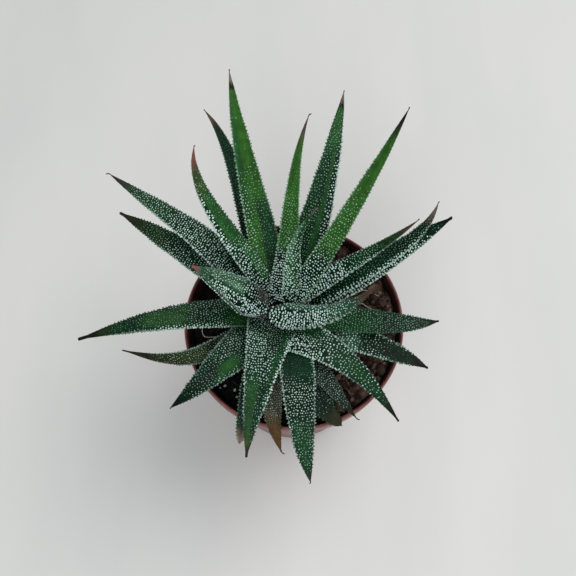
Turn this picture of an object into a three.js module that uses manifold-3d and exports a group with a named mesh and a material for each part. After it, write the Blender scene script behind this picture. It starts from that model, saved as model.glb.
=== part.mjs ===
// A potted haworthia: a stemless-looking rosette of long, tapering leaves, rough with raised dots
// and small marginal teeth, growing off centre in the soil of a round plastic nursery pot.
// Millimetres, +Z up. The origin is the centre of the pot's base, on the surface it stands on.
import * as THREE from 'three';
import Module from 'manifold-3d';
import { mergeVertices } from 'three/addons/utils/BufferGeometryUtils.js';

// ---- Driving dimensions -------------------------------------------------------------------

const GAP = 0.3; // clearance between touching pieces

const POT_HEIGHT = 76;
const RIM_RADIUS = 45; // a 9 cm pot
const BASE_RADIUS = 32;
const WALL = 1.5;
const FLOOR = 2.4;
const LIP_HEIGHT = 10; // the turned-over band below the rim
const LIP_BAND = 2.2; // width of the rim's flat top
const LIP_STEP = 1.6; // how far the lip stands out from the wall below it
const POT_SIDES = 44;
const DRAIN_HOLES = 6;
const DRAIN_RADIUS = 4;
const DRAIN_CIRCLE = 20; // radius of the circle that the drain holes lie on
const GROOVE_WIDTH = 4;
const GROOVE_DEPTH = 0.8; // of the drainage grooves under the base, from each hole to the edge

const SOIL_TOP = 67; // 9 mm below the rim
const SOIL_SIDES = 36;
const SOIL_RINGS = [38, 33, 27, 21, 15, 8]; // radii of the rings of points on the soil's top
const SOIL_LUMP = 0.8; // how far the soil's clods rise and sink

const CROWN = new THREE.Vector2(-7, 3); // the rosette's axis: it grows left of the pot's centre
const STEM_RADIUS = 4;
const STEM_FOOT = 52; // the stem's lower end, in its hole in the soil
const STEM_TOP = 82;
const STEM_SIDES = 20;

const RING_PITCH = 5; // distance between the rings of points along a leaf
const RING_POINTS = 12;
const DOT_HEIGHT = 0.6; // how far a tubercle is raised from the leaf's face
const TOOTH_LENGTH = 0.7; // how far a marginal tooth stands out
const SMOOTH_BASE = 0.14; // share of a leaf's length, at its base, that carries no tubercles
const CHANNEL = 0.12; // usual depth of the upper face's channel, as a share of half the width
const THICKNESS = 0.4; // thickness at the midline, as a share of half the width
const SKIN = 0.35; // added to each face, so that the thinnest tip keeps its thickness
const TIP_HALF_WIDTH = 0.4;
const TAPER = 0.9;
const SWELL = 0.4; // usual share of the length over which a narrow base widens

// ---- The leaves, from the youngest at the heart of the rosette to the oldest at its foot --------
// root: where the midline starts, at the stem. knee and neck: the points that it bends towards.
// tip: where it ends. width: the greatest width. full: how long the leaf keeps its width (1 tapers
// from the base, 8 ends bluntly). channel: how deep the upper face is folded, as a share of half
// the width, where it isn't the usual depth. base: the width at the root, as a share of the greatest
// width, and swell: how soon it has widened, as a share of the length, where the root is narrower.

const LEAVES = [
  { root: [-3, 4, 86], knee: [2, 8, 102], neck: [-5, 17, 111], tip: [8, 23, 128],
    width: 8, full: 1, channel: 0.5, base: 0.7 },
  { root: [-9, -1, 87], knee: [6, -7, 93], neck: [16, -9, 102], tip: [26, -5, 118],
    width: 11, full: 2.5, channel: 0.3, base: 0.5, swell: 0.15 },
  { root: [-10, -2, 84], knee: [-17, 3, 93], neck: [-26, 2, 104], tip: [-36, 3, 122],
    width: 14, full: 2.5, channel: 0.25, base: 0.25 },
  { root: [-6, 5, 84], knee: [0, 21, 102], neck: [-4, 37, 128], tip: [5, 50, 146],
    width: 11, full: 1 },
  { root: [-7, 1, 82], knee: [-9, -12, 98], neck: [-16, -40, 93], tip: [-18, -56, 80],
    width: 23, full: 1 },
  { root: [-5, 4, 81], knee: [17, 16, 93], neck: [32, 16, 104], tip: [47, 24, 116],
    width: 11, full: 1.6, channel: 0.25, base: 0.8 },
  { root: [-8, 5, 82], knee: [-17, 22, 96], neck: [-41, 34, 116], tip: [-36, 44, 136],
    width: 11, full: 1.4, base: 0.7 },
  { root: [-7, 5, 81], knee: [-12, 31, 96], neck: [-22, 53, 125], tip: [-24, 73, 142],
    width: 14, full: 1.2 },
  { root: [-7, 1, 80], knee: [-8, -16, 94], neck: [14, -6, 94], tip: [40, -42, 78],
    width: 16, full: 2.3 },
  { root: [-5, 3, 79], knee: [4, 5, 98], neck: [25, 32, 124], tip: [41, 56, 142],
    width: 8, full: 2.2, channel: 0.25 },
  { root: [-9, 3, 79], knee: [-38, -3, 93], neck: [-54, -7, 98], tip: [-83, -13, 90],
    width: 13, full: 1.6 },
  { root: [-9, 5, 78], knee: [-30, 27, 94], neck: [-54, 37, 103], tip: [-71, 45, 116],
    width: 15, full: 1.3 },
  { root: [-6, 1, 78], knee: [4, -16, 96], neck: [0, -44, 92], tip: [6, -65, 78],
    width: 13.5, full: 3.3 },
  { root: [-5, 5, 77], knee: [7, 18, 94], neck: [16, 50, 124], tip: [18, 65, 140],
    width: 18, full: 1.1 },
  { root: [-5, 4, 76], knee: [31, 18, 92], neck: [50, 24, 101], tip: [53, 29, 122],
    width: 13.5, full: 1.7, channel: 0.3 },
  { root: [-5, 2, 76], knee: [22, -4, 91], neck: [41, -8, 89], tip: [57, -4, 86],
    width: 11, full: 2 },
  { root: [-8, 1, 75], knee: [-19, -14, 92], neck: [-29, -26, 92], tip: [-48, -37, 78],
    width: 17, full: 2.1 },
  { root: [-5, 2, 74], knee: [12, -8, 86], neck: [32, -12, 87], tip: [52, -22, 82],
    width: 11, full: 3.4 },
  { root: [-9, 4, 74], knee: [-29, 17, 86], neck: [-50, 28, 93], tip: [-70, 38, 98],
    width: 13, full: 2.2 },
  { root: [-6, 1, 74], knee: [2, -13, 88], neck: [11, -27, 86], tip: [24, -41, 78],
    width: 11, full: 2.2 },
  { root: [-5, 3, 74], knee: [21, 11, 81], neck: [41, 26, 85], tip: [62, 33, 103],
    width: 10, full: 3 },
  { root: [-8, 5, 73], knee: [-20, 36, 87], neck: [-19, 61, 107], tip: [-36, 75, 116],
    width: 8, full: 1.6 },
  { root: [-9, 2, 73], knee: [-36, -18, 85], neck: [-39, -22, 83], tip: [-68, -14, 80],
    width: 8, full: 1.6 },
  { root: [-7, 0, 72], knee: [-7, -17, 83], neck: [-12, -35, 84], tip: [-5, -53, 75],
    width: 9, full: 2.6 },
  { root: [-7, 1, 72], knee: [-6, -15, 85], neck: [0, -28, 83], tip: [18, -44, 79],
    width: 9, full: 8 },
  { root: [-8, 1, 72], knee: [-18, -16, 86], neck: [-17, -33, 83], tip: [-21, -50, 76],
    width: 6, full: 8 },
  { root: [-5, 1, 71], knee: [2, -13, 82], neck: [12, -26, 79], tip: [19, -38, 77],
    width: 8, full: 8 },
];

// ---- Finishes -------------------------------------------------------------------------------

const plastic = new THREE.MeshStandardMaterial({ color: 0x6b3530, roughness: 0.42, metalness: 0 });
const peat = new THREE.MeshStandardMaterial({ color: 0x1d1512, roughness: 0.95, metalness: 0 });
const bark = new THREE.MeshStandardMaterial({ color: 0x3a2a20, roughness: 0.85, metalness: 0 });
const leafSkin = new THREE.MeshStandardMaterial({ color: 0x24452c, roughness: 0.45, metalness: 0 });

// ---- Closed bodies and cuts -----------------------------------------------------------------

const wasm = await Module();
wasm.setup();

// The points and triangles alone, with equal points merged and empty triangles dropped.
function merged(geometry) {
  const bare = geometry.clone();
  bare.deleteAttribute('normal');
  bare.deleteAttribute('uv');
  const joined = mergeVertices(bare, 1e-4);
  const corners = joined.index.array;
  const kept = [];
  for (let i = 0; i < corners.length; i += 3) {
    const [a, b, c] = [corners[i], corners[i + 1], corners[i + 2]];
    if (a !== b && b !== c && c !== a) kept.push(a, b, c);
  }
  joined.setIndex(kept);
  return joined;
}

function solidOf(geometry) {
  const body = merged(geometry);
  return new wasm.Manifold(new wasm.Mesh({
    numProp: 3,
    vertProperties: new Float32Array(body.attributes.position.array),
    triVerts: new Uint32Array(body.index.array),
  }));
}

function geometryOf(solid) {
  const mesh = solid.getMesh();
  const geometry = new THREE.BufferGeometry();
  geometry.setAttribute('position', new THREE.BufferAttribute(mesh.vertProperties, 3));
  geometry.setIndex(new THREE.BufferAttribute(mesh.triVerts, 1));
  geometry.computeVertexNormals();
  return geometry;
}

function largestPiece(solid) {
  return solid.decompose().reduce((best, piece) => (piece.volume() > best.volume() ? piece : best));
}

// A solid of revolution about Z, from its profile of [radius, height] points, axis to axis.
function turned(profile, sides) {
  const points = profile.map(([radius, height]) => new THREE.Vector2(radius, height));
  return new THREE.LatheGeometry(points, sides).rotateX(Math.PI / 2);
}

function uprightCylinder(radius, bottom, top, sides) {
  const cylinder = new THREE.CylinderGeometry(radius, radius, top - bottom, sides).rotateX(Math.PI / 2);
  return cylinder.translate(0, 0, (bottom + top) / 2);
}

// ---- Pot ------------------------------------------------------------------------------------

const wallTop = POT_HEIGHT - LIP_HEIGHT;
const wallTopRadius = RIM_RADIUS - LIP_STEP - 0.8;
const outerRadius = (height) => BASE_RADIUS + ((wallTopRadius - BASE_RADIUS) * height) / wallTop;
const innerRadius = (height) => outerRadius(height) - WALL;

function drainCutters() {
  const cutters = [];
  for (let i = 0; i < DRAIN_HOLES; i += 1) {
    const bearing = ((i + 0.5) * 2 * Math.PI) / DRAIN_HOLES;
    const hole = uprightCylinder(DRAIN_RADIUS, -FLOOR, 2 * FLOOR, 20);
    const groove = new THREE.BoxGeometry(BASE_RADIUS, GROOVE_WIDTH, 2 * GROOVE_DEPTH);
    groove.translate(BASE_RADIUS / 2, 0, 0);
    cutters.push(hole.translate(DRAIN_CIRCLE, 0, 0).rotateZ(bearing));
    cutters.push(groove.translate(DRAIN_CIRCLE, 0, 0).rotateZ(bearing));
  }
  return cutters;
}

function potBody() {
  const rimInside = RIM_RADIUS - LIP_BAND;
  const shell = turned([
    [0, 0],
    [BASE_RADIUS - 1, 0],
    [outerRadius(1), 1],
    [wallTopRadius, wallTop],
    [RIM_RADIUS - 0.8, wallTop],
    [RIM_RADIUS, POT_HEIGHT - 1],
    [RIM_RADIUS - 0.5, POT_HEIGHT],
    [rimInside + 0.4, POT_HEIGHT],
    [rimInside, POT_HEIGHT - 0.6],
    [innerRadius(wallTop - 2), wallTop - 2],
    [innerRadius(FLOOR + 2), FLOOR + 2],
    [innerRadius(FLOOR) - 2, FLOOR],
    [0, FLOOR],
  ], POT_SIDES);
  return drainCutters().reduce((body, cutter) => body.subtract(solidOf(cutter)), solidOf(shell));
}

// ---- Soil and stem --------------------------------------------------------------------------

// The clods on top of the soil, as a sum of waves.
function soilLump(x, y) {
  return SOIL_LUMP * (Math.sin(0.42 * x + 1.3) * Math.cos(0.37 * y) + 0.6 * Math.sin(0.9 * x - 0.7 * y));
}

function soilBody() {
  const low = FLOOR + 2 + GAP;
  const edge = innerRadius(wallTop - 3) - GAP;
  const soil = merged(turned([
    [0, low],
    [innerRadius(low) - GAP, low],
    [edge, wallTop - 3],
    [edge, SOIL_TOP - 1],
    ...SOIL_RINGS.map((radius) => [radius, SOIL_TOP]),
    [0, SOIL_TOP],
  ], SOIL_SIDES));
  const points = soil.attributes.position;
  for (let i = 0; i < points.count; i += 1) {
    if (points.getZ(i) > SOIL_TOP - 0.5) points.setZ(i, SOIL_TOP + soilLump(points.getX(i), points.getY(i)));
  }
  const hole = uprightCylinder(STEM_RADIUS + GAP, STEM_FOOT - GAP, 2 * SOIL_TOP, STEM_SIDES);
  return solidOf(soil).subtract(solidOf(hole.translate(CROWN.x, CROWN.y, 0)));
}

function stemGeometry(clearance) {
  const radius = STEM_RADIUS + clearance;
  return turned([
    [0, STEM_FOOT],
    [radius, STEM_FOOT],
    [radius, STEM_TOP - 3],
    [0.7 * radius, STEM_TOP - 1 + clearance],
    [0, STEM_TOP + clearance],
  ], STEM_SIDES).translate(CROWN.x, CROWN.y, 0);
}

// ---- Leaves ---------------------------------------------------------------------------------

const UP = new THREE.Vector3(0, 0, 1);

function midline({ root, knee, neck, tip }) {
  return new THREE.CubicBezierCurve3(...[root, knee, neck, tip].map((point) => new THREE.Vector3(...point)));
}

function halfWidth(leaf, t) {
  const grown = THREE.MathUtils.smoothstep(t, 0, leaf.swell ?? SWELL);
  const narrow = THREE.MathUtils.lerp(leaf.base ?? 1, 1, grown);
  return Math.max(TIP_HALF_WIDTH, (leaf.width / 2) * narrow * (1 - t ** leaf.full) ** TAPER);
}

// How much of their full height the tubercles have: none at the base, less at the narrow tip.
function reliefAt(leaf, t) {
  const start = THREE.MathUtils.smoothstep(t, SMOOTH_BASE, SMOOTH_BASE + 0.1);
  return start * Math.min(1, halfWidth(leaf, t) / 3);
}

// One ring of points round the midline, from one margin over the upper face to the other margin
// and back under the leaf. raise(k) is the share of its full relief that point k stands out by.
function leafRing(leaf, t, centre, tangent, clearance, raise) {
  const side = new THREE.Vector3().crossVectors(UP, tangent).normalize();
  const normal = new THREE.Vector3().crossVectors(tangent, side);
  const half = halfWidth(leaf, t);
  const channel = leaf.channel ?? CHANNEL;
  const hollow = clearance > 0 ? 0 : channel;
  return Array.from({ length: RING_POINTS }, (_, k) => {
    const angle = (k * 2 * Math.PI) / RING_POINTS;
    const margin = k % (RING_POINTS / 2) === 0;
    const upper = angle < Math.PI;
    const depth = upper ? SKIN - hollow * half : SKIN + (channel + THICKNESS) * half;
    const tooth = margin ? raise(k) * TOOTH_LENGTH : 0;
    const dot = margin ? 0 : raise(k) * DOT_HEIGHT + clearance;
    const across = Math.cos(angle) * (half + 2 * clearance + tooth);
    const lift = Math.sin(angle) * depth + (upper ? dot : -dot);
    return centre.clone().addScaledVector(side, across).addScaledVector(normal, lift);
  });
}

// A closed tube of rings along the midline: a channelled upper face and a rounded under face that
// meet in two margins. Every other point of a face is raised as a tubercle, and every other point
// of a margin is drawn out as a tooth. With a clearance, it is the leaf's envelope: the channel is
// filled, all points are raised, and it stands off by that clearance on all sides.
function leafGeometry(leaf, clearance = 0) {
  const curve = midline(leaf);
  const rings = Math.max(8, Math.round(curve.getLength() / RING_PITCH));
  const points = [];
  for (let ring = 0; ring <= rings; ring += 1) {
    const t = ring / rings;
    const tangent = curve.getTangent(t);
    const standOff = clearance * ((ring === rings) - (ring === 0));
    const centre = curve.getPoint(t).addScaledVector(tangent, standOff);
    const raise = (k) => (clearance > 0 || (ring + k) % 2 === 0 ? reliefAt(leaf, t) : 0);
    points.push(...leafRing(leaf, t, centre, tangent, clearance, raise));
  }
  points.push(curve.getPoint(0).addScaledVector(curve.getTangent(0), -clearance));
  points.push(curve.getPoint(1).addScaledVector(curve.getTangent(1), TIP_HALF_WIDTH + clearance));
  return tubeGeometry(points, rings);
}

// Joins the rings of points and closes the two ends. Each square is split between its two low
// corners, which leaves every tubercle a peak of its own, and alike on both faces.
function tubeGeometry(points, rings) {
  const index = [];
  for (let ring = 0; ring < rings; ring += 1) {
    for (let k = 0; k < RING_POINTS; k += 1) {
      const a = ring * RING_POINTS + k;
      const b = ring * RING_POINTS + ((k + 1) % RING_POINTS);
      const [c, d] = [a + RING_POINTS, b + RING_POINTS];
      if ((ring + k) % 2 === 0) index.push(a, b, c, b, d, c);
      else index.push(a, b, d, a, d, c);
    }
  }
  const [rootPoint, tipPoint] = [points.length - 2, points.length - 1];
  const lastRing = rings * RING_POINTS;
  for (let k = 0; k < RING_POINTS; k += 1) {
    const next = (k + 1) % RING_POINTS;
    index.push(rootPoint, next, k);
    index.push(tipPoint, lastRing + k, lastRing + next);
  }
  const geometry = new THREE.BufferGeometry().setFromPoints(points);
  geometry.setIndex(index);
  return geometry;
}

// ---- The plant in its pot -------------------------------------------------------------------

const haworthia = new THREE.Group();

function add(name, geometry, material) {
  const mesh = new THREE.Mesh(geometry, material);
  mesh.name = name;
  haworthia.add(mesh);
}

add('pot', geometryOf(potBody()), plastic);
add('soil', geometryOf(soilBody()), peat);
add('stem', merged(stemGeometry(0)), bark);

// Each leaf is cut clear of the stem and of every leaf younger than itself.
let taken = solidOf(stemGeometry(GAP));
LEAVES.forEach((leaf, i) => {
  const body = largestPiece(solidOf(leafGeometry(leaf)).subtract(taken));
  add(`leaf_${String(i + 1).padStart(2, '0')}`, geometryOf(body), leafSkin);
  taken = taken.add(solidOf(leafGeometry(leaf, GAP)));
});

export default haworthia;
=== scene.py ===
"""A potted haworthia seen from above: long dotted leaves in a rosette, in a brown nursery pot.

Metres, +Z up. The origin is the centre of the pot's base. Shapes are described in millimetres and
turned into metres by MM. Every random draw is seeded.
"""
import math
import random
from dataclasses import dataclass

import bpy
from mathutils import Matrix, Vector, noise


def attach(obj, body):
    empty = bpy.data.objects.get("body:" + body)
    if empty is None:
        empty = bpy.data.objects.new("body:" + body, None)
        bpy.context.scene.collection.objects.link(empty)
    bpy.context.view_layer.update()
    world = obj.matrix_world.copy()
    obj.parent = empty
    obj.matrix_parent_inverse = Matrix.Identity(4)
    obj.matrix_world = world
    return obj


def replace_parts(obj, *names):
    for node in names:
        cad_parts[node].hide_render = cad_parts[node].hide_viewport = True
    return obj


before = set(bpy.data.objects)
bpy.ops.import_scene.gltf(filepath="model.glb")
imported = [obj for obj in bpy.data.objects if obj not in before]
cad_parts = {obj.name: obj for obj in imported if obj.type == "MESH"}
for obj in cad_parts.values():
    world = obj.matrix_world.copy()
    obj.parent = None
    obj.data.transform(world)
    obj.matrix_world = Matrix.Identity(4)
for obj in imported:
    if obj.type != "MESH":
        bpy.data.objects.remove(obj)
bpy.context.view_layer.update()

MM = 0.001
UP = Vector((0, 0, 1))


def new_object(name, data):
    thing = bpy.data.objects.new(name, data)
    bpy.context.collection.objects.link(thing)
    return thing


# ---- Colours ----


def srgb(red, green, blue):
    """A screen colour, 0 to 255, as a linear one."""
    def linear(value):
        value /= 255
        return value / 12.92 if value <= 0.04045 else ((value + 0.055) / 1.055) ** 2.4
    return Vector((linear(red), linear(green), linear(blue)))


# DEEP is the darkest leaf green. Some zones also use it as painted shade over leaf bases and
# shadowed stretches.
DEEP = srgb(1, 25, 10)
DARK = srgb(3, 37, 18)
MID = srgb(12, 52, 24)
FRESH = srgb(34, 78, 36)
BRIGHT = srgb(42, 88, 28)
MOSS = srgb(24, 50, 22)
OLIVE = srgb(38, 50, 24)
LUSH = srgb(26, 62, 27)
KHAKI = srgb(52, 74, 36)
SAGE = srgb(44, 80, 60)
SLATE = srgb(18, 32, 24)
DUSTY = srgb(66, 62, 48)
WAXY = srgb(64, 98, 74)

BLACK_TIP = srgb(16, 13, 11)
BROWN_TIP = srgb(78, 60, 52)
RED_TIP = srgb(128, 84, 78)
BEIGE_TIP = srgb(122, 104, 92)
GREY_TIP = srgb(104, 92, 84)
ASHY_TIP = srgb(38, 35, 31)
OLIVE_TIP = srgb(36, 38, 20)
ORANGE_TIP = srgb(90, 62, 32)

MINT = srgb(212, 242, 226)
LAVENDER = srgb(186, 208, 212)
DULL_DOT = srgb(116, 138, 116)


# ---- Camera, light and floor ----

CAMERA_PLACE = Vector((-2.4, -105.9, 351.8)) * MM
CAMERA_TILT = math.radians(23.6)
SENSOR = 36
LENS = 45


def add_camera():
    data = bpy.data.cameras.new("camera")
    data.sensor_width = SENSOR
    data.lens = LENS
    camera = new_object("camera", data)
    camera.location = CAMERA_PLACE
    camera.rotation_euler = (CAMERA_TILT, 0, 0)
    bpy.context.scene.camera = camera


def add_area_light(name, place, target, size, watts, colour):
    data = bpy.data.lights.new(name, "AREA")
    data.shape = "DISK"
    data.size = size
    data.energy = watts
    data.color = colour
    lamp = new_object(name, data)
    lamp.location = place
    lamp.rotation_euler = (Vector(target) - Vector(place)).to_track_quat("-Z", "Y").to_euler()


def add_lights():
    world = bpy.data.worlds.new("room")
    bpy.context.scene.world = world
    world.use_nodes = True
    sky = world.node_tree.nodes["Background"]
    sky.inputs["Color"].default_value = (0.93, 0.97, 1.0, 1)
    sky.inputs["Strength"].default_value = 0.45
    add_area_light("window", (0.55, 0.35, 1.0), (0, 0, 0.08), 1.0, 8.0, (1.0, 0.99, 0.97))
    add_area_light("ceiling", (-0.15, -0.7, 0.95), (0, 0, 0.08), 0.9, 5.5, (0.95, 0.98, 1.0))
    bpy.context.scene.view_settings.view_transform = "Standard"


# ---- Nodes ----


class Nodes:
    """A material's node tree, with short calls for the nodes that the finishes here share."""

    def __init__(self, name):
        self.material = bpy.data.materials.new(name)
        self.material.use_nodes = True
        self.tree = self.material.node_tree
        self.shader = self.tree.nodes["Principled BSDF"]
        self.place = self.tree.nodes.new("ShaderNodeTexCoord").outputs["Object"]

    def link(self, source, socket):
        if isinstance(source, (int, float)):
            socket.default_value = source
        elif isinstance(source, Vector):
            socket.default_value = (*source, 1)
        else:
            self.tree.links.new(source, socket)

    def attribute(self, name):
        node = self.tree.nodes.new("ShaderNodeAttribute")
        node.attribute_name = name
        return node.outputs["Color"]

    def noise(self, size_mm, detail=3, stretch=(1, 1, 1)):
        """Noise from 0 to 1 with features of about that size."""
        mapping = self.tree.nodes.new("ShaderNodeMapping")
        mapping.inputs["Scale"].default_value = stretch
        self.link(self.place, mapping.inputs["Vector"])
        node = self.tree.nodes.new("ShaderNodeTexNoise")
        node.inputs["Scale"].default_value = 1 / (size_mm * MM)
        node.inputs["Detail"].default_value = detail
        self.link(mapping.outputs["Vector"], node.inputs["Vector"])
        return node.outputs["Fac"]

    def spread(self, source, low, high, to_low=0.0, to_high=1.0):
        """source, from low to high, as a value from to_low to to_high."""
        node = self.tree.nodes.new("ShaderNodeMapRange")
        self.link(source, node.inputs["Value"])
        node.inputs["From Min"].default_value = low
        node.inputs["From Max"].default_value = high
        node.inputs["To Min"].default_value = to_low
        node.inputs["To Max"].default_value = to_high
        return node.outputs["Result"]

    def mottle(self, size_mm, low, high, detail=3):
        """Noise with features of about that size, as a value that lies mostly from low to high."""
        return self.spread(self.noise(size_mm, detail), 0.3, 0.7, low, high)

    def mix(self, share, first, second, blend="MIX"):
        node = self.tree.nodes.new("ShaderNodeMix")
        node.data_type = "RGBA"
        node.blend_type = blend
        self.link(share, node.inputs["Factor"])
        self.link(first, node.inputs["A"])
        self.link(second, node.inputs["B"])
        return node.outputs["Result"]

    def shade(self, colour, amount):
        """colour, darkened or lightened by the amount, 1 being no change."""
        grey = self.tree.nodes.new("ShaderNodeCombineColor")
        for channel in ("Red", "Green", "Blue"):
            self.link(amount, grey.inputs[channel])
        return self.mix(1.0, colour, grey.outputs["Color"], "MULTIPLY")

    def bump(self, height, depth_mm, strength=1.0):
        node = self.tree.nodes.new("ShaderNodeBump")
        node.inputs["Strength"].default_value = strength
        node.inputs["Distance"].default_value = depth_mm * MM
        self.link(height, node.inputs["Height"])
        self.link(node.outputs["Normal"], self.shader.inputs["Normal"])

    def finish(self, colour, roughness, specular=0.5):
        self.link(colour, self.shader.inputs["Base Color"])
        self.link(roughness, self.shader.inputs["Roughness"])
        self.shader.inputs["Specular IOR Level"].default_value = specular
        return self.material


def skin_material():
    """Waxy leaf skin: mottled and finely grained over the colour in the tint attribute."""
    nodes = Nodes("leaf_skin")
    mottled = nodes.shade(nodes.attribute("tint"), nodes.mottle(3.0, 0.72, 1.28))
    grained = nodes.shade(mottled, nodes.mottle(0.5, 0.85, 1.15, 2))
    nodes.bump(nodes.noise(0.6, 2), 0.12, 0.5)
    return nodes.finish(grained, nodes.mottle(2.0, 0.4, 0.6), 0.1)


def tubercle_material():
    nodes = Nodes("tubercle")
    colour = nodes.shade(nodes.attribute("tint"), nodes.mottle(1.2, 0.8, 1.15))
    nodes.bump(nodes.noise(0.3, 2), 0.05, 0.5)
    return nodes.finish(colour, 0.5, 0.25)


def pot_material():
    """Thin moulded plastic: reddish brown, a little worn and dusty, lighter where it is rubbed.

    Down the inside it is darkened nearly to black, partly by dirt and partly by painted shade.
    """
    nodes = Nodes("pot_plastic")
    tone = nodes.mix(nodes.noise(14.0), srgb(112, 62, 58), srgb(136, 76, 70))
    streaks = nodes.noise(2.2, 4, (1, 1, 0.12))
    worn = nodes.mix(nodes.spread(streaks, 0.52, 0.8, 0.0, 0.35), tone, srgb(160, 112, 104))
    # Dirt and painted shade: the inside wall is mixed towards near black, more so lower down.
    inside = nodes.mix(nodes.attribute("dirt_and_shade"), worn, srgb(14, 6, 5))
    nodes.bump(nodes.noise(0.9, 3), 0.05, 0.4)
    return nodes.finish(inside, nodes.mottle(5.0, 0.34, 0.5), 0.5)


def soil_material():
    """Peat: nearly black where it is damp, on the left, and reddish brown where it is dry."""
    nodes = Nodes("peat")
    axes = nodes.tree.nodes.new("ShaderNodeSeparateXYZ")
    nodes.link(nodes.place, axes.inputs["Vector"])
    dry_share = nodes.spread(axes.outputs["X"], DAMP_TO * MM, DRY_FROM * MM)
    clods = nodes.spread(nodes.noise(2.4, 6), 0.38, 0.66)
    damp = nodes.mix(clods, srgb(6, 5, 5), srgb(22, 18, 17))
    dry = nodes.mix(clods, srgb(24, 15, 13), srgb(92, 70, 60))
    nodes.bump(nodes.noise(0.8, 5), 0.6, 0.8)
    return nodes.finish(nodes.mix(dry_share, damp, dry), 0.92, 0.15)


def scrap_material(name, roughness):
    """Loose bits, roots and dried leaf: coloured by their tint, with a fine grain."""
    nodes = Nodes(name)
    colour = nodes.shade(nodes.attribute("tint"), nodes.mottle(0.5, 0.65, 1.3, 4))
    nodes.bump(nodes.noise(0.4, 4), 0.15, 0.6)
    return nodes.finish(colour, roughness, 0.3)


def floor_material():
    nodes = Nodes("pale_floor")
    grain = nodes.noise(60.0, 4, (1, 0.25, 1))
    tone = nodes.mix(nodes.spread(grain, 0.3, 0.7), srgb(205, 205, 203), srgb(213, 212, 209))
    return nodes.finish(tone, 0.7, 0.2)


def add_floor():
    mesh = bpy.data.meshes.new("floor")
    reach = 3.0
    corners = [(-reach, -reach, 0), (reach, -reach, 0), (reach, reach, 0), (-reach, reach, 0)]
    mesh.from_pydata(corners, [], [(0, 1, 2, 3)])
    mesh.materials.append(floor_material())
    floor = new_object("floor", mesh)


# ---- Meshes ----


class Shape:
    """The points, faces, finishes and tints of one piece, gathered and then made into an object."""

    def __init__(self, attribute="tint"):
        self.points = []
        self.faces = []
        self.finishes = []
        self.tints = []
        self.attribute = attribute

    def point(self, place, tint):
        self.points.append(place)
        self.tints.append(tint)
        return len(self.points) - 1

    def face(self, corners, finish=0):
        self.faces.append(corners)
        self.finishes.append(finish)

    def tube(self, rings, ends, tints, end_tints):
        """Rings of points joined in a row, with the ends closed to a point each."""
        count = len(rings[0])
        first = len(self.points)
        for ring, ring_tints in zip(rings, tints):
            for place, tint in zip(ring, ring_tints):
                self.point(place, tint)
        for row in range(len(rings) - 1):
            for k in range(count):
                a = first + row * count + k
                b = first + row * count + (k + 1) % count
                self.face((a, b, b + count, a + count))
        start = self.point(ends[0], end_tints[0])
        end = self.point(ends[1], end_tints[1])
        last = first + (len(rings) - 1) * count
        for k in range(count):
            after = (k + 1) % count
            self.face((start, first + after, first + k))
            self.face((end, last + k, last + after))

    def plain_tube(self, rings, ends, tint):
        self.tube(rings, ends, [[tint] * len(rings[0])] * len(rings), (tint, tint))

    def object(self, name, materials, slot, smooth=True):
        mesh = bpy.data.meshes.new(name)
        mesh.from_pydata(self.points, [], self.faces)
        for material in materials:
            mesh.materials.append(material)
        mesh.polygons.foreach_set("material_index", self.finishes)
        mesh.polygons.foreach_set("use_smooth", [smooth] * len(self.faces))
        tint = mesh.attributes.new(self.attribute, "FLOAT_COLOR", "POINT")
        tint.data.foreach_set("color", [value for colour in self.tints for value in (*colour, 1)])
        mesh.update()
        piece = new_object(name, mesh)
        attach(piece, "root")
        return piece


def smoothstep(value, low, high):
    share = min(1, max(0, (value - low) / (high - low)))
    return share * share * (3 - 2 * share)


def bearings(sides):
    """The bearings of points spaced evenly round a circle, in radians."""
    return [k * math.tau / sides for k in range(sides)]


def window(value, low, high, soft):
    """1 between low and high, falling softly to 0 outside them."""
    opened = smoothstep(value, low - soft, low + soft)
    return opened * (1 - smoothstep(value, high - soft, high + soft))


# ---- The leaves ----
# The midline bends from root to tip towards knee and neck, in millimetres. Across the leaf, u is 1
# at the margin on the left of someone walking from root to tip, and -1 at the other.

ZONE_SOFT_ALONG = 0.06
ZONE_SOFT_ACROSS = 0.12


@dataclass
class Zone:
    """A stretch of a leaf's upper face. What it leaves as None is the leaf's own there."""
    along: tuple  # from and to, as shares of the length; -1 and 2 leave an end open
    across: tuple = (-2, 2)  # from and to, in u; -2 and 2 reach over the margins
    dots: float = None  # how closely set the tubercles are: 1 fills nearly all their places
    size: float = None
    pale: float = None
    # the skin colour; some zones use it to paint shade over bases and shadowed stretches
    skin: Vector = None

    def weight(self, t, u):
        along = window(t, *self.along, ZONE_SOFT_ALONG)
        return along * window(u, *self.across, ZONE_SOFT_ACROSS)


@dataclass
class Leaf:
    """A leaf's course, form and look."""
    root: tuple
    knee: tuple
    neck: tuple
    tip: tuple
    width: float
    full: float  # how long the leaf keeps its width: 1 tapers from the base, 8 ends bluntly
    channel: float = 0.12  # depth of the upper face's channel, as a share of half the width
    base: float = 1.0  # width at the root, as a share of the full width
    swell: float = 0.4  # share of the length over which a narrow base widens
    green: Vector = DARK
    dried: Vector = BLACK_TIP  # colour of the dry tip
    dry: float = 0.06  # share of the length that is dry, at the tip
    banded: bool = False  # a dark band below the dry tip
    pitch: float = 1.2  # distance between the places for tubercles
    size: float = 0.6  # of the tubercles: at 1 their radius is DOT_RADIUS
    pale: float = 0.95  # how white the tubercles are
    start: float = 0.1  # where the tubercles start, as a share of the length
    stop: float = 0.95  # where most of them end
    bloom: float = 0.3  # how bluish and waxy the base is
    edge: tuple = (0.6, 0.6)  # how white the margins are, at u = 1 and u = -1
    lines: float = 0.3  # how strongly the skin is lined lengthwise
    stub: float = 0.14  # half the width of the very tip
    nib: float = 0.3  # length of the dried thread that the tip ends in
    zones: tuple = ()


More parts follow.
